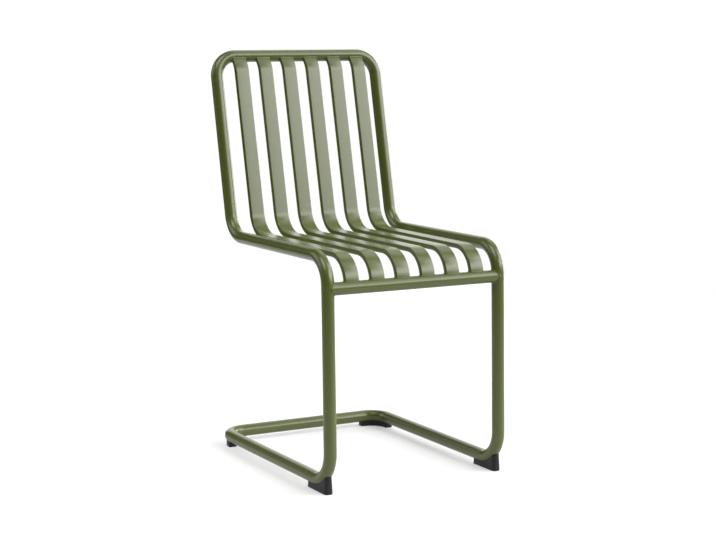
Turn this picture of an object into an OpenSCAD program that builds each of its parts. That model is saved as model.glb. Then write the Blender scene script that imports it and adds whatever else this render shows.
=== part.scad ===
// Outdoor cantilever chair: a closed loop of bent round tube carries six bent flat tubes
// that run from the top rail down the back, across the seat and over its front edge.
// Millimetres, +Z up. The sitter faces -Y. The origin is on the floor, midway between the
// loop's foremost and rearmost points. Left is the -X side, as seen from the front.

/* [Frame tube] */
// Outside diameter of the frame tube
tube_d = 25; // [20:0.5:28]
// Wall of the frame tube
tube_wall = 2; // [1.5:0.1:3]
// Distance between the centre lines of the two side tubes
side_spacing = 377; // [350:1:440]

/* [Side profile] */
// Gap between the floor and the underside of the base tubes
floor_gap = 8.9; // [8.4:0.1:14]
// Front leg, from the base centre line to the corner under the seat's front edge
leg_length = 431; // [380:1:480]
// Backward lean of the front legs
leg_lean = 1.5; // [0:0.1:5]
// Seat side tube, from front corner to back corner
seat_length = 420; // [380:1:470]
// Fall of the seat side tubes to the rear
seat_fall = 0.3; // [0:0.1:4]
// Back, from the seat's back corner to the centre line of the top rail
back_length = 376; // [330:1:440]
// Backward lean of the back
back_lean = 12.7; // [6:0.1:18]
// Base, from the leg's corner to the centre line of the rear floor bar
base_length = 487; // [430:1:540]

/* [Tube bends] */
// Centre line radius between leg and base
floor_bend_r = 59; // [45:0.5:70]
// Centre line radius at the seat's front edge
seat_bend_r = 54.5; // [40:0.5:65]
// Centre line radius between seat and back
back_bend_r = 55; // [40:0.5:75]
// Centre line radius of the two top corners
top_corner_r = 44.5; // [36:0.5:52]
// Centre line radius of the two rear base corners
base_corner_r = 42; // [34:0.5:60]

/* [Frame joints] */
// Length of a side tube's back run, from the seat's back corner up to the butt joint
back_run_length = 170; // [140:1:240]
// Length of a side tube's base run, from the leg's corner to the butt joint
base_run_length = 270; // [180:1:340]
// Length of the sleeve inside each butt joint
sleeve_length = 50; // [30:1:70]
// Wall of the sleeve
sleeve_wall = 1.5; // [1:0.1:2.5]
// Radial clearance between sleeve and tube
sleeve_gap = 0.1; // [0.05:0.05:0.3]
// Distance of the front rail below the seat's front corner, down the leg
rail_drop = 59.7; // [56:0.1:90]
// Gap left for the weld at every coped end
weld_gap = 0.1; // [0.05:0.05:0.3]

/* [Flat slats] */
// Width of a slat
slat_w = 30; // [20:0.5:36]
// Thickness of a slat
slat_t = 10; // [8:0.5:12]
// Wall of the flat tube
slat_wall = 1.5; // [1:0.1:2]
// Outer corner radius of the flat tube
slat_corner_r = 2; // [1:0.1:3]
// Clear gap between a side tube and the nearest slat
slat_edge_gap = 22.7; // [18:0.1:34]
// Height of the tube corner above the middle of the seat slats
slat_drop = 1.9; // [0:0.1:6]
// Distance of the slats' back corner in front of the tubes' back corner
slat_lead = 20.2; // [16:0.1:30]
// Forward lean of the slats at the front edge
slat_front_lean = 4.9; // [2:0.1:8]
// Backward lean of the slats in the back
slat_back_lean = 13.3; // [12:0.1:14.5]
// Centre line radius of the slats' front bend
slat_front_r = 53.5; // [40:0.5:56]
// Centre line radius of the slats' back bend
slat_back_r = 57; // [40:0.5:75]
// Distance of the slats' top curl below the centre line of the top rail
curl_drop = 19.6; // [17:0.1:30]
// Centre line radius of the slats' top curl
curl_r = 51; // [30:0.5:58]

/* [Feet] */
// Width of a front foot at the floor
front_foot_w = 18; // [16:0.5:23]
// Length of a front foot
front_foot_length = 75.5; // [64:0.5:90]
// Height of a front foot's front face
front_foot_height = 34.5; // [28:0.5:40]
// Distance of a front foot's front edge behind the leg's corner
front_foot_setback = 3.5; // [1:0.1:6]
// Plan radius of a front foot's front edges
front_foot_r = 7.5; // [5:0.1:8.5]
// Inward slope of the faces of a front foot
foot_draft = 2.5; // [0.5:0.1:4]
// Wall of a front foot around its hollow
foot_wall = 3.5; // [2.5:0.1:4.5]
// Width of a rear foot
rear_foot_w = 17.5; // [15:0.5:21]
// Length of a rear foot beyond each end of its corner
rear_foot_tail = 5; // [4.5:0.1:20]
// Plan radius of the small corners of the feet
foot_corner_r = 3.5; // [1:0.1:4]
// Chamfer around the sole of a foot
sole_chamfer = 0.8; // [0.3:0.1:1.5]
// Gap between a foot and its tube
foot_gap = 0.15; // [0.05:0.05:0.3]

/* [Foot screws] */
// Distance of a front foot's screw from its rear face
screw_setback = 11; // [8:0.5:16]
// Diameter of the screw shank
screw_d = 3.5; // [2.5:0.1:4.5]
// Length of the screw below its head
screw_length = 10; // [9:0.5:14]
// Diameter of the screw head
screw_head_d = 7; // [5.5:0.1:8]
// Height of the screw head
screw_head_h = 2.2; // [1.5:0.1:3]
// Height of the head's seat above the floor
screw_seat = 4.5; // [3.6:0.1:5.5]
// Width of the slots of the cross recess
screw_slot = 0.9; // [0.5:0.1:1.2]
// Clearance around the screw in the foot
screw_gap = 0.25; // [0.1:0.05:0.5]
// Clearance around the shank in the tube wall
thread_gap = 0.05; // [0.02:0.01:0.1]

/* [Hidden] */
$fn = 64;

slat_count = 6;
cut = 1;
bend_lap = 0.5;
bend_slip = 0.05;
$slip = 0;
tube_r = tube_d / 2;
bore_d = tube_d - 2 * tube_wall;
half_spacing = side_spacing / 2;
base_z = floor_gap + tube_r;

// Headings in the side view, counted from +Y towards +Z
leg_heading = 90 - leg_lean;
seat_heading = -seat_fall;
back_heading = 90 - back_lean;

// Corners of the side tube's centre line as [Y, Z], before the model is centred
base_corner = [0, base_z];
seat_corner = ahead(base_corner, leg_heading, leg_length);
back_corner = ahead(seat_corner, seat_heading, seat_length);
top_point = ahead(back_corner, back_heading, back_length);
rail_point = ahead(seat_corner, leg_heading, -rail_drop);
back_joint_point = ahead(back_corner, back_heading, back_run_length);
base_joint_point = [base_run_length, base_z];
side_points = [base_joint_point, base_corner, seat_corner, back_corner, back_joint_point];
side_radii = [floor_bend_r, seat_bend_r, back_bend_r];
floor_bend_points = [base_joint_point, base_corner, seat_corner];

// Corners of the two bows as [X, distance from the side tube's corner]
top_points = bow_points(back_run_length, back_length);
top_radii = [top_corner_r, top_corner_r];
base_points = bow_points(base_run_length, base_length);
base_radii = [base_corner_r, base_corner_r];

// Corners of a slat's centre line, from the front rail to the top rail
slat_z = seat_corner[1] - slat_drop;
slat_front_heading = 90 - slat_front_lean;
slat_back_heading = 90 - slat_back_lean;
slat_front_corner = ahead(rail_point, slat_front_heading,
    (slat_z - rail_point[1]) / sin(slat_front_heading));
slat_back_corner = [back_corner[0] - slat_lead, slat_z];
slat_back_run = (top_point - slat_back_corner) * dir(slat_back_heading) - curl_drop;
curl_corner = ahead(slat_back_corner, slat_back_heading, slat_back_run);
slat_points = [rail_point, slat_front_corner, slat_back_corner, curl_corner, top_point];
slat_radii = [slat_front_r, slat_back_r, curl_r];
slat_span = side_spacing - tube_d - 2 * slat_edge_gap - slat_w;
slat_pitch = slat_span / (slat_count - 1);

// The loop's foremost and rearmost points, which the origin lies between
floor_bend_centre = bend_centre(side_points, 1, floor_bend_r);
front_y = floor_bend_centre[0] - (floor_bend_r + tube_r);
rear_y = max(top_point[0], base_length) + tube_r;
shift_y = -(front_y + rear_y) / 2;

// Feet and their screws
front_foot_rear = front_foot_setback + front_foot_length;
front_screw_y = front_foot_rear - screw_setback;
screw_recess_d = screw_head_d + 2 * screw_gap;
pocket_rear = front_screw_y - screw_recess_d / 2 - foot_wall;
corner_centre = [half_spacing - base_corner_r, base_length - base_corner_r];

function dir(heading) = [cos(heading), sin(heading)];
function ahead(point, heading, distance) = point + distance * dir(heading);
function heading(points, i) =
    let (step = points[i + 1] - points[i]) atan2(step[1], step[0]);
function wrap(angle) = angle > 180 ? angle - 360 : angle < -180 ? angle + 360 : angle;
function turn(points, i) = wrap(heading(points, i) - heading(points, i - 1));
function reach(points, i, radius) = radius * tan(abs(turn(points, i)) / 2);
function bend_centre(points, i, radius) =
    let (h = heading(points, i - 1))
    points[i] - reach(points, i, radius) * dir(h)
    + radius * dir(h + (turn(points, i) > 0 ? 90 : -90));
function bow_points(start, end) = [
    [-half_spacing, start], [-half_spacing, end], [half_spacing, end], [half_spacing, start]
];
function slat_x(i) = (i - (slat_count + 1) / 2) * slat_pitch;

// A section swept along a line with round bends. The route lies in the XY plane, and the
// section's Y runs along Z. Straight runs reach a little way into the bends and are drawn
// smaller by $slip, so that their faces never quite coincide.
module route(points, radii, overrun = 0) {
    last = len(points) - 2;
    for (i = [0 : last]) {
        start = i == 0 ? -overrun : reach(points, i, radii[i - 1]) - bend_lap;
        end = i == last ? -overrun : reach(points, i + 1, radii[i]) - bend_lap;
        from = ahead(points[i], heading(points, i), start);
        translate([from[0], from[1], 0])
            rotate([90, 0, heading(points, i) + 90])
                linear_extrude(norm(points[i + 1] - points[i]) - start - end)
                    let ($slip = bend_slip)
                        children();
    }
    for (i = [1 : last]) {
        centre = bend_centre(points, i, radii[i - 1]);
        first = turn(points, i) > 0 ? heading(points, i - 1) - 90 : heading(points, i) + 90;
        translate([centre[0], centre[1], 0])
            rotate_extrude(angle = abs(turn(points, i)), start = first)
                translate([radii[i - 1], 0])
                    let ($slip = 0)
                        children();
    }
}

module rod(points, radii, d, overrun = 0) {
    route(points, radii, overrun)
        circle(d = d - 2 * $slip);
}

module frame_tube(points, radii) {
    difference() {
        rod(points, radii, tube_d);
        rod(points, radii, bore_d, cut);
    }
}

// Turns a drawing in the XY plane into one in the chair's side view at x
module side_view(x) {
    translate([x, shift_y, 0])
        rotate([90, 0, 90])
            children();
}

// Turns a drawing in the XY plane into one in the plane of the back tubes
module back_plane() {
    translate([0, shift_y + back_corner[0], back_corner[1]])
        rotate([90 - back_lean, 0, 0])
            children();
}

module base_plane() {
    translate([0, shift_y, base_z])
        children();
}

module screw_hole(x, y) {
    translate([x, shift_y + y, 0])
        cylinder(h = base_z, d = screw_d + 2 * thread_gap);
}

module side_tube(side) {
    difference() {
        side_view(side * half_spacing)
            frame_tube(side_points, side_radii);
        screw_hole(side * half_spacing, front_screw_y);
    }
}

module top_bow() {
    back_plane()
        frame_tube(top_points, top_radii);
}

module base_bow() {
    difference() {
        base_plane()
            frame_tube(base_points, base_radii);
        for (side = [-1, 1])
            screw_hole(side * rear_screw()[0], rear_screw()[1]);
    }
}

function rear_screw() = ahead(corner_centre, 45, base_corner_r);

// The front rail's ends are coped to the legs
module front_rail() {
    difference() {
        translate([-half_spacing, shift_y + rail_point[0], rail_point[1]])
            rotate([0, 90, 0])
                linear_extrude(side_spacing)
                    difference() {
                        circle(d = tube_d);
                        circle(d = bore_d);
                    }
        for (side = [-1, 1])
            side_view(side * half_spacing)
                rod([base_corner, seat_corner, back_corner], [seat_bend_r], tube_d + 2 * weld_gap);
    }
}

// Cross section of a slat, with rounded corners
module slat_section() {
    t = slat_t - 2 * $slip;
    w = slat_w - 2 * $slip;
    square([t - 2 * slat_corner_r, w], center = true);
    square([t, w - 2 * slat_corner_r], center = true);
    for (a = [-1, 1], b = [-1, 1])
        translate([a * (t / 2 - slat_corner_r), b * (w / 2 - slat_corner_r)])
            circle(r = slat_corner_r);
}

module slat_bore() {
    walls = 2 * (slat_wall + $slip);
    square([slat_t - walls, slat_w - walls], center = true);
}

// A slat is one flat tube, bent three times and coped to the two rails
module slat(i) {
    difference() {
        side_view(slat_x(i))
            difference() {
                route(slat_points, slat_radii)
                    slat_section();
                route(slat_points, slat_radii, cut)
                    slat_bore();
            }
        translate([slat_x(i) - slat_w, shift_y + rail_point[0], rail_point[1]])
            rotate([0, 90, 0])
                cylinder(h = 2 * slat_w, d = tube_d + 2 * weld_gap);
        back_plane()
            rod(top_points, top_radii, tube_d + 2 * weld_gap);
    }
}

// Outline of a front foot in the side view, up to the tube's centre line
module front_foot_side(inset, rear) {
    front = front_foot_setback + inset;
    slope = tan(foot_draft);
    front_turn = asin((floor_bend_centre[0] - front - base_z * slope) / floor_bend_r);
    top_front = floor_bend_centre - floor_bend_r * [sin(front_turn), cos(front_turn)];
    polygon(concat(
        [[front + sole_chamfer, 0], [rear - sole_chamfer, 0], [rear, sole_chamfer]],
        [[rear - base_z * slope, base_z]],
        [for (t = [0 : 1 : 4])
            floor_bend_centre - floor_bend_r * [sin(t * front_turn / 5), cos(t * front_turn / 5)]],
        [[front + top_front[1] * slope, top_front[1]], [front, sole_chamfer]]
    ));
}

// Outline of a front foot seen from the front
module front_foot_face(width, height) {
    half = width / 2;
    top = half - height * tan(foot_draft);
    polygon([
        [-half + sole_chamfer, 0], [half - sole_chamfer, 0], [half, sole_chamfer],
        [top, height], [-top, height], [-half, sole_chamfer]
    ]);
}

// Rounded plan of a front foot, with Y to the rear
module front_foot_plan(width, front, rear, front_r, rear_r) {
    half = width / 2;
    translate([-half, front + front_r])
        square([width, rear - front - front_r - rear_r]);
    translate([-half + front_r, front])
        square([width - 2 * front_r, rear - front - front_r]);
    translate([-half + rear_r, front + front_r])
        square([width - 2 * rear_r, rear - front - front_r]);
    for (a = [-1, 1]) {
        translate([a * (half - front_r), front + front_r])
            circle(r = front_r);
        translate([a * (half - rear_r), rear - rear_r])
            circle(r = rear_r);
    }
}

module front_foot_block(inset, rear, drop) {
    width = front_foot_w - 2 * inset;
    front = front_foot_setback + inset;
    intersection() {
        translate([0, 0, -drop])
            rotate([90, 0, 90])
                linear_extrude(width, center = true)
                    front_foot_side(inset, rear);
        translate([0, rear, -drop])
            rotate([90, 0, 0])
                linear_extrude(rear)
                    front_foot_face(width, front_foot_height);
        translate([0, 0, -drop])
            linear_extrude(front_foot_height)
                front_foot_plan(width, front, rear, front_foot_r - inset, foot_corner_r / 2);
    }
}

module front_foot(side) {
    x = side * half_spacing;
    difference() {
        translate([x, shift_y, 0])
            difference() {
                front_foot_block(0, front_foot_rear, 0);
                difference() {
                    front_foot_block(foot_wall, pocket_rear, cut);
                    rotate([90, 0, 90])
                        rod(floor_bend_points, [floor_bend_r], tube_d + 2 * foot_wall);
                }
                screw_passage(front_screw_y);
            }
        side_view(x)
            rod(floor_bend_points, [floor_bend_r], tube_d + 2 * foot_gap);
    }
}

// Clearance hole and counterbore for a foot screw
module screw_passage(y) {
    translate([0, y, -cut])
        cylinder(h = screw_seat + cut, d = screw_recess_d);
    translate([0, y, 0])
        cylinder(h = base_z, d = screw_d + 2 * screw_gap);
}

// Cross section of a rear foot, around the tube's centre line
module rear_foot_section() {
    half = rear_foot_w / 2;
    polygon([
        [-half + sole_chamfer, 0], [half - sole_chamfer, 0], [half, sole_chamfer],
        [half, base_z], [-half, base_z], [-half, sole_chamfer]
    ]);
}

// The straight tail of a rear foot, with rounded corners in plan
module rear_foot_end() {
    half = rear_foot_w / 2;
    intersection() {
        rotate([90, 0, 0])
            linear_extrude(rear_foot_tail)
                rear_foot_section();
        linear_extrude(base_z)
            union() {
                translate([-half, -(rear_foot_tail - foot_corner_r)])
                    square([rear_foot_w, rear_foot_tail - foot_corner_r]);
                translate([-half + foot_corner_r, -rear_foot_tail])
                    square([rear_foot_w - 2 * foot_corner_r, rear_foot_tail]);
                for (a = [-1, 1])
                    translate([a * (half - foot_corner_r), -(rear_foot_tail - foot_corner_r)])
                        circle(r = foot_corner_r);
            }
    }
}

module rear_foot_right() {
    difference() {
        translate([corner_centre[0], shift_y + corner_centre[1], 0]) {
            rotate_extrude(angle = 90)
                translate([base_corner_r, 0])
                    rear_foot_section();
            for (swap = [0, 1])
                mirror([swap, -swap, 0])
                    translate([base_corner_r, 0, 0])
                        rear_foot_end();
        }
        base_plane()
            rod(base_points, base_radii, tube_d + 2 * foot_gap);
        translate([rear_screw()[0], shift_y, 0])
            screw_passage(rear_screw()[1]);
    }
}

module foot_rear(side) {
    if (side > 0)
        rear_foot_right();
    else
        mirror([1, 0, 0])
            rear_foot_right();
}

// A sleeve lies inside each butt joint, half of it in either tube
module sleeve() {
    linear_extrude(sleeve_length, center = true)
        difference() {
            circle(d = bore_d - 2 * sleeve_gap);
            circle(d = bore_d - 2 * sleeve_gap - 2 * sleeve_wall);
        }
}

module back_sleeve(side) {
    back_plane()
        translate([side * half_spacing, back_run_length, 0])
            rotate([90, 0, 0])
                sleeve();
}

module base_sleeve(side) {
    base_plane()
        translate([side * half_spacing, base_run_length, 0])
            rotate([90, 0, 0])
                sleeve();
}

// Pan head screw with a cross recess and a blunt point, driven upwards
module foot_screw(x, y) {
    point = screw_d / 2;
    translate([x, shift_y + y, screw_seat]) {
        difference() {
            translate([0, 0, -screw_head_h])
                cylinder(h = screw_head_h, d1 = screw_head_d - screw_head_h / 2, d2 = screw_head_d);
            for (a = [0, 90])
                rotate([0, 0, a])
                    translate([-screw_head_d / 4, -screw_slot / 2, -screw_head_h - cut])
                        cube([screw_head_d / 2, screw_slot, screw_head_h / 2 + cut]);
        }
        cylinder(h = screw_length - point, d = screw_d);
        translate([0, 0, screw_length - point])
            cylinder(h = point, d1 = screw_d, d2 = screw_d / 3);
    }
}

module foot_screws() {
    for (side = [-1, 1]) {
        foot_screw(side * half_spacing, front_screw_y);
        foot_screw(side * rear_screw()[0], rear_screw()[1]);
    }
}

color("olivedrab") side_tube(-1);  // side_tube_left
color("olivedrab") side_tube(1);  // side_tube_right
color("olivedrab") top_bow();
color("olivedrab") base_bow();
color("olivedrab") front_rail();
color("olivedrab") slat(1);  // slat_1
color("olivedrab") slat(2);  // slat_2
color("olivedrab") slat(3);  // slat_3
color("olivedrab") slat(4);  // slat_4
color("olivedrab") slat(5);  // slat_5
color("olivedrab") slat(6);  // slat_6
color("dimgray") front_foot(-1);  // foot_front_left
color("dimgray") front_foot(1);  // foot_front_right
color("dimgray") foot_rear(-1);  // foot_rear_left
color("dimgray") foot_rear(1);  // foot_rear_right
color("silver") back_sleeve(-1);  // sleeve_back_left
color("silver") back_sleeve(1);  // sleeve_back_right
color("silver") base_sleeve(-1);  // sleeve_base_left
color("silver") base_sleeve(1);  // sleeve_base_right
color("silver") foot_screws();
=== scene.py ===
import math

import bmesh
import bpy
from mathutils import Matrix, Vector


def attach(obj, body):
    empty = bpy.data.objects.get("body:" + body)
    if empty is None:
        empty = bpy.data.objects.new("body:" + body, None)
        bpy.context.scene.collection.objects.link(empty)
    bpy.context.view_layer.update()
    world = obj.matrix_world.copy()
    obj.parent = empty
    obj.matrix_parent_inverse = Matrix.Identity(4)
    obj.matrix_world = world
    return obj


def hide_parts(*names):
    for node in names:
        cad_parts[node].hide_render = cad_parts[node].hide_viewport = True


# An outdoor cantilever chair: a closed loop of round tube with a front rail and six flat slats,
# all powder-coated in olive green, on four black moulded feet.
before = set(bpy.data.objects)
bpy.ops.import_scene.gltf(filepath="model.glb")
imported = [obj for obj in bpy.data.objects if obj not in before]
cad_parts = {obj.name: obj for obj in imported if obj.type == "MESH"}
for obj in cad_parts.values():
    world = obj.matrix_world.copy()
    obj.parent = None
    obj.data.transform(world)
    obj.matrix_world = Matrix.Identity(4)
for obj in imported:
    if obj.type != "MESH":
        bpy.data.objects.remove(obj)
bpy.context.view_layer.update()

# Sizes in metres and angles in degrees, as in the part's source.
# The loop of round tube, whose four lengths run from corner to corner of its centre line, and
# the front rail's drop below the seat's front corner
TUBE_R, TUBE_WALL = 0.0125, 0.002
HALF_SPACING = 0.1885
BASE_Z = 0.0214
LEG_HEADING, SEAT_HEADING, BACK_HEADING = 88.5, -0.3, 77.3
LEG, SEAT, BACK, BASE = 0.431, 0.420, 0.376, 0.487
FLOOR_BEND_R, SEAT_BEND_R, BACK_BEND_R = 0.059, 0.0545, 0.055
TOP_CORNER_R, BASE_CORNER_R = 0.0445, 0.042
BACK_JOINT, BASE_JOINT = 0.170, 0.270
RAIL_DROP = 0.0597

# The slats, whose drop and lead are measured from the loop's corners
SLAT_W, SLAT_T, SLAT_WALL, SLAT_EDGE_R = 0.030, 0.010, 0.0015, 0.002
SLAT_COUNT, SLAT_EDGE_GAP = 6, 0.0227
SLAT_DROP, SLAT_LEAD = 0.0019, 0.0202
SLAT_FRONT_HEADING, SLAT_BACK_HEADING = 85.1, 76.7
SLAT_FRONT_R, SLAT_BACK_R, CURL_R, CURL_DROP = 0.0535, 0.057, 0.051, 0.0196

# The gap that a coped end leaves to its tube, and the radius that it is cut to
WELD_GAP = 0.0001
COPE_R = TUBE_R + WELD_GAP

# The feet
FRONT_FOOT_W, FRONT_FOOT_L, FRONT_FOOT_H = 0.018, 0.0755, 0.0345
FRONT_FOOT_SETBACK, FRONT_FOOT_R, FRONT_FOOT_REAR_R = 0.0035, 0.0075, 0.00175
FOOT_DRAFT = 2.5
FOOT_WALL, FOOT_GAP = 0.0035, 0.00015
REAR_FOOT_W, REAR_FOOT_TAIL, REAR_FOOT_R = 0.0175, 0.005, 0.0035
SCREW_SETBACK, SCREW_RECESS_R, SCREW_SEAT, SHANK_HOLE_R = 0.011, 0.00375, 0.0045, 0.002

# Round edges of the soles, and weld beads, which are a chamfer and a gap in the part's source
SOLE_R, WELD_BEAD_R = 0.001, 0.0015

SIDES = ((-1, "left"), (1, "right"))
SMOOTH_ANGLE, SHARP_ANGLE = 30, 45


def towards(angle):
    """A step of length 1 at an angle, in degrees from the drawing's first axis."""
    return Vector((math.cos(math.radians(angle)), math.sin(math.radians(angle))))


def heading(points, i):
    """Angle of the run that starts at a point."""
    step = points[i + 1] - points[i]
    return math.degrees(math.atan2(step.y, step.x))


def turn(points, i):
    """Angle that a route turns by at a point, to the left where it is positive."""
    return (heading(points, i) - heading(points, i - 1) + 180) % 360 - 180


def reach(points, i, radius):
    """Length of a straight run that the bend at one of its corners takes up."""
    return radius * math.tan(math.radians(abs(turn(points, i))) / 2)


def bend_centre(points, i, radius):
    before = heading(points, i - 1)
    tangent = points[i] - reach(points, i, radius) * towards(before)
    return tangent + radius * towards(before + math.copysign(90, turn(points, i)))


# Corners of the tubes' and slats' centre lines in the side view, as (Y, Z) before centring
BASE_CORNER = Vector((0, BASE_Z))
SEAT_CORNER = BASE_CORNER + LEG * towards(LEG_HEADING)
BACK_CORNER = SEAT_CORNER + SEAT * towards(SEAT_HEADING)
TOP_POINT = BACK_CORNER + BACK * towards(BACK_HEADING)
RAIL_POINT = SEAT_CORNER - RAIL_DROP * towards(LEG_HEADING)
SIDE_POINTS = [
    Vector((BASE_JOINT, BASE_Z)), BASE_CORNER, SEAT_CORNER, BACK_CORNER,
    BACK_CORNER + BACK_JOINT * towards(BACK_HEADING),
]
SIDE_RADII = [FLOOR_BEND_R, SEAT_BEND_R, BACK_BEND_R]

# The move that puts the middle of the chair's depth at the origin
FRONT_Y = bend_centre(SIDE_POINTS, 1, FLOOR_BEND_R).x - FLOOR_BEND_R - TUBE_R
SHIFT_Y = -(FRONT_Y + max(TOP_POINT.x, BASE) + TUBE_R) / 2

SLAT_Z = SEAT_CORNER.y - SLAT_DROP
SLAT_FRONT = RAIL_POINT + towards(SLAT_FRONT_HEADING) * (
    (SLAT_Z - RAIL_POINT.y) / math.sin(math.radians(SLAT_FRONT_HEADING))
)
SLAT_BACK = Vector((BACK_CORNER.x - SLAT_LEAD, SLAT_Z))
SLAT_BACK_RUN = (TOP_POINT - SLAT_BACK).dot(towards(SLAT_BACK_HEADING)) - CURL_DROP
SLAT_POINTS = [
    RAIL_POINT, SLAT_FRONT, SLAT_BACK,
    SLAT_BACK + SLAT_BACK_RUN * towards(SLAT_BACK_HEADING), TOP_POINT,
]
SLAT_RADII = [SLAT_FRONT_R, SLAT_BACK_R, CURL_R]
SLAT_PITCH = (2 * HALF_SPACING - 2 * TUBE_R - 2 * SLAT_EDGE_GAP - SLAT_W) / (SLAT_COUNT - 1)


class Drawing:
    """A flat drawing in the chair: its points and headings become places and directions."""

    def __init__(self, origin, across, up):
        self.origin = Vector(origin)
        self.across = Vector(across)
        self.up = Vector(up)
        self.normal = self.across.cross(self.up)

    def place(self, point):
        return self.origin + point.x * self.across + point.y * self.up

    def direction(self, angle):
        step = towards(angle)
        return step.x * self.across + step.y * self.up

    def off_route(self, place, points, radii):
        """Distance of a place from the centre line of a tube."""
        offset = place - self.origin
        flat = Vector((offset.dot(self.across), offset.dot(self.up)))
        found = []
        for i in range(len(points) - 1):
            along = towards(heading(points, i))
            start = reach(points, i, radii[i - 1]) if i else 0
            end = (points[i + 1] - points[i]).length
            if i < len(points) - 2:
                end -= reach(points, i + 1, radii[i])
                centre = bend_centre(points, i + 1, radii[i])
                after = towards(heading(points, i + 1))
                if (flat - centre).dot(along) > 0 > (flat - centre).dot(after):
                    found.append(abs((flat - centre).length - radii[i]))
            run = min(max((flat - points[i]).dot(along), start), end)
            found.append((flat - points[i] - run * along).length)
        return math.hypot(min(found), offset.dot(self.normal))

    def section_frame(self, point, angle):
        """Local X to the left of the heading, local Y square to the drawing, Z along it."""
        left, along = self.direction(angle + 90), self.direction(angle)
        turned = Matrix((left, self.normal, along)).transposed().to_4x4()
        return Matrix.Translation(self.place(point)) @ turned


def side_view(x):
    return Drawing((x, SHIFT_Y, 0), (0, 1, 0), (0, 0, 1))


BACK_PLANE = Drawing(
    (0, SHIFT_Y + BACK_CORNER.x, BACK_CORNER.y), (1, 0, 0),
    (0, towards(BACK_HEADING).x, towards(BACK_HEADING).y),
)
BASE_PLANE = Drawing((0, SHIFT_Y, BASE_Z), (1, 0, 0), (0, 1, 0))
RAIL_PLANE = Drawing((0, SHIFT_Y + RAIL_POINT.x, RAIL_POINT.y), (1, 0, 0), (0, 1, 0))


def bow_points(start, end):
    """Corners of a bow that joins the two side tubes, from the left one to the right one."""
    return [Vector((-HALF_SPACING, start)), Vector((-HALF_SPACING, end)),
            Vector((HALF_SPACING, end)), Vector((HALF_SPACING, start))]


# Points and bend radii of the two bows and of the front rail, each in its own plane
TOP_ROUTE = (bow_points(BACK_JOINT, BACK), [TOP_CORNER_R, TOP_CORNER_R])
BASE_ROUTE = (bow_points(BASE_JOINT, BASE), [BASE_CORNER_R, BASE_CORNER_R])
RAIL_ROUTE = ([Vector((-HALF_SPACING, 0)), Vector((HALF_SPACING, 0))], [])


def only(piece):
    if bpy.context.object and bpy.context.object.mode != "OBJECT":
        bpy.ops.object.mode_set(mode="OBJECT")
    bpy.ops.object.select_all(action="DESELECT")
    piece.select_set(True)
    bpy.context.view_layer.objects.active = piece


def new_piece(name):
    """Names the primitive just added and moves its place into its mesh."""
    piece = bpy.context.object
    piece.name = piece.data.name = name
    only(piece)
    bpy.ops.object.transform_apply(location=True, rotation=True, scale=True)
    return piece


def edit(piece):
    """Opens a piece in edit mode with all of it selected."""
    only(piece)
    bpy.ops.object.mode_set(mode="EDIT")
    bpy.ops.mesh.select_all(action="SELECT")


def leave_edit():
    bpy.ops.object.mode_set(mode="OBJECT")


def pick(piece, kind, test):
    """In edit mode, selects the vertices, edges or faces that pass the test."""
    bpy.ops.mesh.select_mode(type=kind)
    bpy.ops.mesh.select_all(action="DESELECT")
    mesh = bmesh.from_edit_mesh(piece.data)
    for element in {"VERT": mesh.verts, "EDGE": mesh.edges, "FACE": mesh.faces}[kind]:
        if test(element):
            element.select_set(True)
    mesh.select_flush_mode()
    bmesh.update_edit_mesh(piece.data)


def face_outwards():
    """In edit mode, turns every face outwards."""
    bpy.ops.mesh.select_all(action="SELECT")
    bpy.ops.mesh.normals_make_consistent(inside=False)


def bevel(piece, offset, segments, test):
    """In edit mode, rounds the edges that pass the test."""
    pick(piece, "EDGE", test)
    bpy.ops.mesh.bevel(offset=offset, segments=segments, affect="EDGES")


def apply_modifier(piece, kind, **settings):
    only(piece)
    modifier = piece.modifiers.new(kind.lower(), kind)
    for key, value in settings.items():
        setattr(modifier, key, value)
    bpy.ops.object.modifier_apply(modifier=modifier.name)


def cut_away(piece, cutter, keep_cutter=False):
    apply_modifier(piece, "BOOLEAN", operation="DIFFERENCE", object=cutter, solver="EXACT")
    if not keep_cutter:
        bpy.data.objects.remove(cutter)


def duplicate(piece, name, offset):
    """A copy with a mesh of its own, moved inside that mesh."""
    twin = piece.copy()
    twin.data = piece.data.copy()
    twin.data.transform(Matrix.Translation(offset))
    twin.name = twin.data.name = name
    bpy.context.scene.collection.objects.link(twin)
    return twin


def smooth(piece):
    only(piece)
    bpy.ops.object.shade_smooth_by_angle(angle=math.radians(SMOOTH_ANGLE))


def weld(piece, off_rail, is_outer):
    """Joins a bead of weld to a coped end, along its outer edge. The first test gives a place's
    distance from the centre line of the tube that the piece is welded to."""

    def on_cope(vertex):
        return abs(off_rail(vertex.co) - COPE_R) < WELD_GAP

    def on_seam(edge):
        return all(on_cope(v) and is_outer(v.co) for v in edge.verts) and any(
            not on_cope(v) for face in edge.link_faces for v in face.verts
        )

    edit(piece)
    pick(piece, "EDGE", on_seam)
    bpy.ops.mesh.duplicate()
    bpy.ops.mesh.separate(type="SELECTED")
    leave_edit()
    bead = next(other for other in bpy.context.selected_objects if other != piece)
    only(bead)
    bpy.ops.object.convert(target="CURVE")
    bead.data.bevel_depth = WELD_BEAD_R
    bead.data.bevel_resolution = 3
    bpy.ops.object.convert(target="MESH")
    piece.select_set(True)
    bpy.context.view_layer.objects.active = piece
    bpy.ops.object.join()


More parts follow.
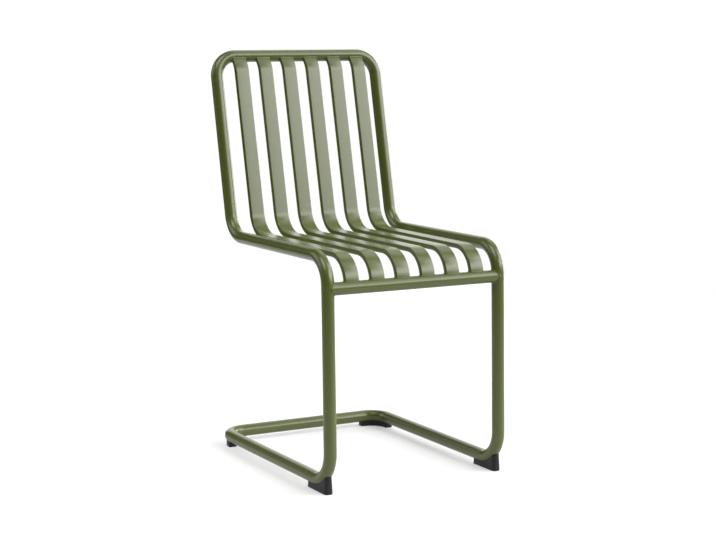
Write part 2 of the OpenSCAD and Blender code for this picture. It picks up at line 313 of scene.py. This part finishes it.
def sweep(drawing, points, radii, degrees_per_step=4):
    """In edit mode, draws the selected loop along a route: runs by extrude, bends by spin."""
    last = len(points) - 2
    for i in range(last + 1):
        start = reach(points, i, radii[i - 1]) if i else 0
        end = reach(points, i + 1, radii[i]) if i < last else 0
        run = (points[i + 1] - points[i]).length - start - end
        bpy.ops.mesh.extrude_region_move(
            TRANSFORM_OT_translate={"value": drawing.direction(heading(points, i)) * run}
        )
        if i < last:
            angle = turn(points, i + 1)
            bpy.ops.mesh.spin(
                steps=max(4, round(abs(angle) / degrees_per_step)), dupli=False,
                angle=math.radians(abs(angle)),
                center=drawing.place(bend_centre(points, i + 1, radii[i])),
                axis=drawing.normal * math.copysign(1, -angle),
            )


def start_round(name, drawing, points, radius, sides):
    """Opens a disc in edit mode, square to the start of a route."""
    at = drawing.section_frame(points[0], heading(points, 0))
    bpy.ops.mesh.primitive_circle_add(
        vertices=sides, radius=radius, fill_type="NGON",
        location=at.translation, rotation=at.to_euler(),
    )
    disc = new_piece(name)
    edit(disc)
    return disc


def start_flat(name, drawing, points, width, height, lift=0):
    """Opens an oblong in edit mode, square to the start of a route, its width in the drawing."""
    at = drawing.section_frame(points[0], heading(points, 0))
    at.translation.z += lift
    bpy.ops.mesh.primitive_plane_add(size=1, location=at.translation, rotation=at.to_euler())
    bpy.context.object.scale = (width, height, 1)
    oblong = new_piece(name)
    edit(oblong)
    return oblong


def round_bar(name, drawing, points, radii, radius, sides=48):
    """A solid round bar along a route, with flat ends."""
    bar = start_round(name, drawing, points, radius, sides)
    sweep(drawing, points, radii)
    face_outwards()
    leave_edit()
    return bar


def hollow(bar, wall):
    """Opens the many-sided ends of a bar and gives it a wall inside its surface."""
    edit(bar)
    pick(bar, "FACE", lambda face: len(face.verts) > 4)
    bpy.ops.mesh.delete(type="ONLY_FACE")
    leave_edit()
    apply_modifier(bar, "SOLIDIFY", thickness=wall, offset=-1, use_even_offset=True)


def round_tube(name, drawing, points, radii):
    """A round tube with its wall, along a route."""
    tube = round_bar(name, drawing, points, radii, TUBE_R)
    hollow(tube, TUBE_WALL)
    smooth(tube)
    return tube


def dress(piece, node, material):
    """Puts a piece in the place of its CAD node."""
    piece.data.materials.clear()
    piece.data.materials.append(material)
    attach(piece, "root")
    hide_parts(node)


def show_cad(node, material):
    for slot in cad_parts[node].material_slots:
        slot.material = material


class Socket:
    """A shader socket that takes part in arithmetic: each operator adds its Math node."""

    def __init__(self, paint, socket):
        self.paint = paint
        self.socket = socket

    def _maths(self, operation, first, second):
        return self.paint.add("ShaderNodeMath", {"operation": operation}, {0: first, 1: second})

    def __add__(self, other):
        return self._maths("ADD", self, other)

    __radd__ = __add__

    def __mul__(self, other):
        return self._maths("MULTIPLY", self, other)

    __rmul__ = __mul__


class Paint:
    """A material and its nodes."""

    def __init__(self, name, **constants):
        self.material = bpy.data.materials.new(name)
        self.material.use_nodes = True
        self.tree = self.material.node_tree
        self.shader = self.tree.nodes["Principled BSDF"]
        for key, value in constants.items():
            self.shader.inputs[key.replace("_", " ")].default_value = value

    def add(self, kind, settings, inputs, output=0):
        """Adds a node with its settings, and with values or links at its sockets."""
        node = self.tree.nodes.new(kind)
        for key, value in settings.items():
            setattr(node, key, value)
        for key, value in inputs.items():
            if isinstance(value, Socket):
                self.tree.links.new(value.socket, node.inputs[key])
            else:
                node.inputs[key].default_value = value
        return Socket(self, node.outputs[output])

    def feed(self, key, value):
        self.tree.links.new(value.socket, self.shader.inputs[key])

    def noise(self, scale, detail, stretch=(1, 1, 1)):
        place = self.add("ShaderNodeTexCoord", {}, {}, output="Object")
        place = self.add("ShaderNodeMapping", {}, {"Vector": place, "Scale": stretch})
        return self.add("ShaderNodeTexNoise", {}, {
            "Vector": place, "Scale": scale, "Detail": detail,
        })

    def spread(self, value, low, high, to_low=0.0, to_high=1.0):
        """Spreads a value from one range over another."""
        return self.add("ShaderNodeMapRange", {}, {
            "Value": value, "From Min": low, "From Max": high, "To Min": to_low, "To Max": to_high,
        })

    def mix(self, factor, first, second):
        return self.add("ShaderNodeMix", {"data_type": "RGBA"}, {
            "Factor": factor, "A": first, "B": second,
        }, output="Result")

    def bump(self, height, distance, strength, normal=None):
        inputs = {"Height": height, "Distance": distance, "Strength": strength}
        if normal:
            inputs["Normal"] = normal
        return self.add("ShaderNodeBump", {}, inputs)


def grey(level):
    return (level, level, level, 1)


def powder_coat():
    """Olive green, with a faint cloud and grain in its colour and the fine peel of baked powder."""
    dark_olive, light_olive = (0.0612, 0.0770, 0.0130, 1), (0.0660, 0.0824, 0.0147, 1)
    paint = Paint("powder_coat", Roughness=0.3, IOR=1.5)
    cloud = paint.noise(scale=9.0, detail=3.0)
    peel = paint.noise(scale=520.0, detail=2.0)
    grain = paint.noise(scale=2600.0, detail=2.0)
    shade = paint.spread(cloud + 0.35 * grain, low=0.35, high=1.0)
    paint.feed("Base Color", paint.mix(shade, dark_olive, light_olive))
    paint.feed("Roughness", paint.spread(peel, low=0.3, high=0.7, to_low=0.27, to_high=0.33))
    normal = paint.bump(peel, distance=0.00002, strength=0.6)
    paint.feed("Normal", paint.bump(grain, distance=0.000008, strength=0.5, normal=normal))
    return paint.material


def foot_plastic():
    """Black, with a fine moulded grain."""
    paint = Paint("foot_plastic", Specular_IOR_Level=0.26)
    cloud = paint.noise(scale=30.0, detail=3.0)
    grain = paint.noise(scale=1900.0, detail=3.0)
    paint.feed("Base Color", paint.mix(cloud, grey(0.006), grey(0.010)))
    paint.feed("Roughness", paint.spread(grain, low=0.3, high=0.7, to_low=0.42, to_high=0.55))
    paint.feed("Normal", paint.bump(grain, distance=0.00003, strength=0.6))
    return paint.material


def zinc_plate():
    """Bluish zinc with drawing lines, on the sleeves and screws."""
    dull_zinc, bright_zinc = (0.52, 0.54, 0.57, 1), (0.66, 0.67, 0.68, 1)
    paint = Paint("zinc_plate", Metallic=1.0, Roughness=0.3)
    cloud = paint.noise(scale=60.0, detail=4.0)
    lines = paint.noise(scale=400.0, detail=2.0, stretch=(1, 1, 12))
    paint.feed("Base Color", paint.mix(cloud, dull_zinc, bright_zinc))
    shine = paint.spread(cloud + 0.4 * lines, low=0.4, high=1.0, to_low=0.24, to_high=0.38)
    paint.feed("Roughness", shine)
    paint.feed("Normal", paint.bump(lines, distance=0.00002, strength=0.4))
    return paint.material


COAT, PLASTIC, ZINC = powder_coat(), foot_plastic(), zinc_plate()

# The loop of round tube
for side, name in SIDES:
    tube = round_tube(
        f"side_tube_{name}_coated", side_view(side * HALF_SPACING), SIDE_POINTS, SIDE_RADII
    )
    dress(tube, f"side_tube_{name}", COAT)
for name, plane, route in (("top", BACK_PLANE, TOP_ROUTE), ("base", BASE_PLANE, BASE_ROUTE)):
    bow = round_tube(f"{name}_bow_coated", plane, *route)
    dress(bow, f"{name}_bow", COAT)

# The front rail, coped to the legs. Both cuts come before the welds, because the solver can
# lose a bead that is there already.
rail = round_tube("front_rail_coated", RAIL_PLANE, *RAIL_ROUTE)
LEG_VIEWS = [side_view(side * HALF_SPACING) for side, name in SIDES]
for view in LEG_VIEWS:
    cut_away(rail, round_bar("leg_cutter", view, SIDE_POINTS[1:4], [SEAT_BEND_R], COPE_R))
for view in LEG_VIEWS:
    weld(rail, lambda p: view.off_route(p, SIDE_POINTS, SIDE_RADII),
         lambda p: RAIL_PLANE.off_route(p, *RAIL_ROUTE) > TUBE_R - TUBE_WALL / 2)
smooth(rail)
dress(rail, "front_rail", COAT)


def flat_tube(name):
    """One slat, not yet coped: a flat tube bent three times."""
    drawing = side_view(0)
    slat = start_flat(name, drawing, SLAT_POINTS, SLAT_T, SLAT_W)
    bpy.ops.mesh.bevel(offset=SLAT_EDGE_R, affect="VERTICES", segments=5)
    bpy.ops.mesh.select_all(action="SELECT")
    sweep(drawing, SLAT_POINTS, SLAT_RADII, degrees_per_step=3)
    face_outwards()
    leave_edit()
    hollow(slat, SLAT_WALL)
    return slat


def beyond_bore(place):
    """Tells whether a place in a slat's section lies in the outer half of its wall."""
    middle_wall = SLAT_WALL / 2
    return abs(place.x) > SLAT_T / 2 - middle_wall or abs(place.y) > SLAT_W / 2 - middle_wall


# One plain slat, copied six times; each copy is coped at both ends and then welded at both
plain_slat = flat_tube("plain_slat")
rail_cutter = round_bar("rail_cutter", RAIL_PLANE, *RAIL_ROUTE, COPE_R)
bow_cutter = round_bar("bow_cutter", BACK_PLANE, *TOP_ROUTE, COPE_R)
for i in range(SLAT_COUNT):
    x = (i - (SLAT_COUNT - 1) / 2) * SLAT_PITCH
    slat = duplicate(plain_slat, f"slat_{i + 1}_coated", (x, 0, 0))
    for cutter in (rail_cutter, bow_cutter):
        cut_away(slat, cutter, keep_cutter=True)
    for end, run_start, off_rail in (
        (0, 0, lambda p: RAIL_PLANE.off_route(p, *RAIL_ROUTE)),
        (-1, -2, lambda p: BACK_PLANE.off_route(p, *TOP_ROUTE)),
    ):
        at = side_view(x).section_frame(SLAT_POINTS[end], heading(SLAT_POINTS, run_start))
        weld(slat, off_rail, lambda p: beyond_bore(at.inverted() @ p))
    smooth(slat)
    dress(slat, f"slat_{i + 1}", COAT)
for spare in (plain_slat, rail_cutter, bow_cutter):
    bpy.data.objects.remove(spare)


# The four feet
FLOOR_BEND = SIDE_POINTS[:3]
FRONT_SCREW_Y = FRONT_FOOT_SETBACK + FRONT_FOOT_L - SCREW_SETBACK


def foot_block(name, x, inset, rear, bottom):
    """A drafted block below the floor bend, with round upright edges and a softened sole. With
    an inset it is the smaller block of the hollow inside, and its sole stays sharp."""
    front = FRONT_FOOT_SETBACK + inset
    width = FRONT_FOOT_W - 2 * inset
    centre = Vector((x, SHIFT_Y + (front + rear) / 2, bottom + FRONT_FOOT_H / 2))
    bpy.ops.mesh.primitive_cube_add(size=1, location=centre)
    bpy.context.object.scale = (width, rear - front, FRONT_FOOT_H)
    block = new_piece(name)

    def upright(edge):
        return abs(edge.verts[0].co.z - edge.verts[1].co.z) > FRONT_FOOT_H / 2

    edit(block)
    bevel(block, FRONT_FOOT_R - inset, segments=8,
          test=lambda e: upright(e) and e.verts[0].co.y < centre.y)
    bevel(block, FRONT_FOOT_REAR_R, segments=5,
          test=lambda e: upright(e) and e.verts[0].co.y > centre.y)
    shrink = 2 * FRONT_FOOT_H * math.tan(math.radians(FOOT_DRAFT))
    pick(block, "VERT", lambda v: v.co.z > centre.z)
    bpy.ops.transform.resize(
        value=(1 - shrink / width, 1 - shrink / (rear - front), 1), center_override=centre
    )
    if not inset:
        bevel(block, SOLE_R, segments=3,
              test=lambda e: all(v.co.z < bottom + SOLE_R / 2 for v in e.verts))
    leave_edit()
    return block


def bend_cutter(x, radius):
    """The space of the tube in the floor bend, widened all the way to the bend's inside."""
    drawing = side_view(x)
    cutter = start_round("bend_cutter", drawing, FLOOR_BEND, radius, sides=64)
    pick(cutter, "VERT", lambda v: v.co.z > BASE_Z - radius / 100)
    bpy.ops.transform.translate(value=(0, 0, FLOOR_BEND_R / 2))
    bpy.ops.mesh.select_all(action="SELECT")
    sweep(drawing, FLOOR_BEND, [FLOOR_BEND_R], degrees_per_step=2)
    face_outwards()
    leave_edit()
    return cutter


def screw_passage(foot, x, y):
    for radius, height in ((SCREW_RECESS_R, SCREW_SEAT), (SHANK_HOLE_R, BASE_Z)):
        bpy.ops.mesh.primitive_cylinder_add(
            vertices=40, radius=radius, depth=2 * height, location=(x, SHIFT_Y + y, 0)
        )
        cut_away(foot, new_piece("passage"))


def front_foot(name, x):
    """A block under the floor bend, with a hollow below and a screw passage behind it."""
    foot = foot_block(name, x, 0, FRONT_FOOT_SETBACK + FRONT_FOOT_L, 0)
    pocket_rear = FRONT_SCREW_Y - SCREW_RECESS_R - FOOT_WALL
    pocket = foot_block("pocket", x, FOOT_WALL, pocket_rear, -SOLE_R)
    cut_away(pocket, bend_cutter(x, TUBE_R + FOOT_WALL))
    cut_away(foot, bend_cutter(x, TUBE_R + FOOT_GAP))
    cut_away(foot, pocket)
    screw_passage(foot, x, FRONT_SCREW_Y)
    smooth(foot)
    return foot


def rear_foot(name, side):
    """A bar under the rear corner of the base, with a straight tail at each end."""
    tail = BASE_CORNER_R + REAR_FOOT_TAIL
    points = [
        Vector((side * HALF_SPACING, BASE - tail)), Vector((side * HALF_SPACING, BASE)),
        Vector((side * (HALF_SPACING - tail), BASE)),
    ]
    foot = start_flat(name, BASE_PLANE, points, REAR_FOOT_W, BASE_Z, lift=-BASE_Z / 2)
    sweep(BASE_PLANE, points, [BASE_CORNER_R])
    face_outwards()
    ends = (BASE_PLANE.place(points[0]), BASE_PLANE.place(points[2]))

    def tail_corner(edge):
        low, high = sorted(edge.verts, key=lambda v: v.co.z)
        apart = min((low.co.xy - end.xy).length for end in ends)
        return high.co.z - low.co.z > BASE_Z / 2 and apart < REAR_FOOT_W / 2 + WELD_GAP

    def sole_rim(edge):
        sharp = edge.calc_face_angle(0) > math.radians(SHARP_ANGLE)
        return sharp and all(v.co.z < SOLE_R / 2 for v in edge.verts)

    bevel(foot, REAR_FOOT_R, segments=6, test=tail_corner)
    bevel(foot, SOLE_R, segments=3, test=sole_rim)
    leave_edit()
    cut_away(foot, round_bar("base_cutter", BASE_PLANE, *BASE_ROUTE, TUBE_R + FOOT_GAP, sides=64))
    centre = Vector((side * (HALF_SPACING - BASE_CORNER_R), BASE - BASE_CORNER_R))
    diagonal = BASE_CORNER_R * math.sqrt(0.5)
    screw_passage(foot, centre.x + side * diagonal, centre.y + diagonal)
    smooth(foot)
    return foot


for side, name in SIDES:
    foot = front_foot(f"foot_front_{name}_moulded", side * HALF_SPACING)
    dress(foot, f"foot_front_{name}", PLASTIC)
    foot = rear_foot(f"foot_rear_{name}_moulded", side)
    dress(foot, f"foot_rear_{name}", PLASTIC)

# The hidden sleeves and screws keep their CAD shapes
for node in (
    "sleeve_back_left", "sleeve_back_right", "sleeve_base_left", "sleeve_base_right", "foot_screws",
):
    show_cad(node, ZINC)

# A small floor that glows a little. Only the camera sees the white behind it, which is over 1 so
# that no speck of it turns grey. To the coating everything beyond the floor is black, and that
# darkens the sides of the slats and legs.
FLOOR_SIZE, FLOOR_SHADE, FLOOR_GLOW = 4.0, 0.53, 0.31
WHITE, CLEAR_WHITE = 1.0, 1.02
bpy.ops.mesh.primitive_plane_add(size=FLOOR_SIZE)
floor = new_piece("floor")
floor_paint = Paint(
    "floor", Roughness=0.6, Base_Color=grey(FLOOR_SHADE),
    Emission_Color=grey(WHITE), Emission_Strength=FLOOR_GLOW,
)
floor.data.materials.append(floor_paint.material)

world = bpy.data.worlds.new("studio")
bpy.context.scene.world = world
world.use_nodes = True
backing = world.node_tree.nodes["Background"]
backing.inputs["Color"].default_value = grey(CLEAR_WHITE)
seen = world.node_tree.nodes.new("ShaderNodeLightPath").outputs["Is Camera Ray"]
world.node_tree.links.new(seen, backing.inputs["Strength"])

# Round soft boxes, too far off to fade over the floor. Side, height and width are degrees seen
# from the chair, with side counted from the front towards the right, and strength comes last.
SOFT_BOXES = {
    "key": (24, 28, 24, 1.17),
    "key_low": (48, 18, 30, 0.83),
    "key_right": (62, 30, 40, 2.29),
    "right_rear": (108, 8, 30, 1.63),
    "rear": (156, 20, 44, 0.73),
    "left_rear": (232, 25, 40, 0.87),
    "high_left": (300, 64, 40, 2.03),
    "high_right": (60, 56, 30, 0.46),
    "high_rear": (132, 56, 30, 0.42),
}
for name, (side, height, width, strength) in SOFT_BOXES.items():
    light = bpy.data.lights.new(name, "SUN")
    light.angle = math.radians(width)
    light.energy = strength
    lamp = bpy.data.objects.new(name, light)
    lamp.rotation_euler = (math.radians(90 - height), 0, math.radians(side))
    bpy.context.scene.collection.objects.link(lamp)

# The photograph's camera, which stands in front of the chair, to the left, and looks a little down
CAMERA_PLACE = (-1.6874, -3.1116, 0.8795)
DOWN, TO_THE_RIGHT = 7.928, 28.627
SENSOR_WIDTH, LENS = 36.0, 88.12
camera_data = bpy.data.cameras.new("camera")
camera_data.sensor_width = SENSOR_WIDTH
camera_data.lens = LENS
camera = bpy.data.objects.new("camera", camera_data)
camera.location = CAMERA_PLACE
camera.rotation_euler = (math.radians(90 - DOWN), 0, math.radians(-TO_THE_RIGHT))
bpy.context.scene.collection.objects.link(camera)
bpy.context.scene.camera = camera
bpy.context.scene.view_settings.view_transform = "Standard"
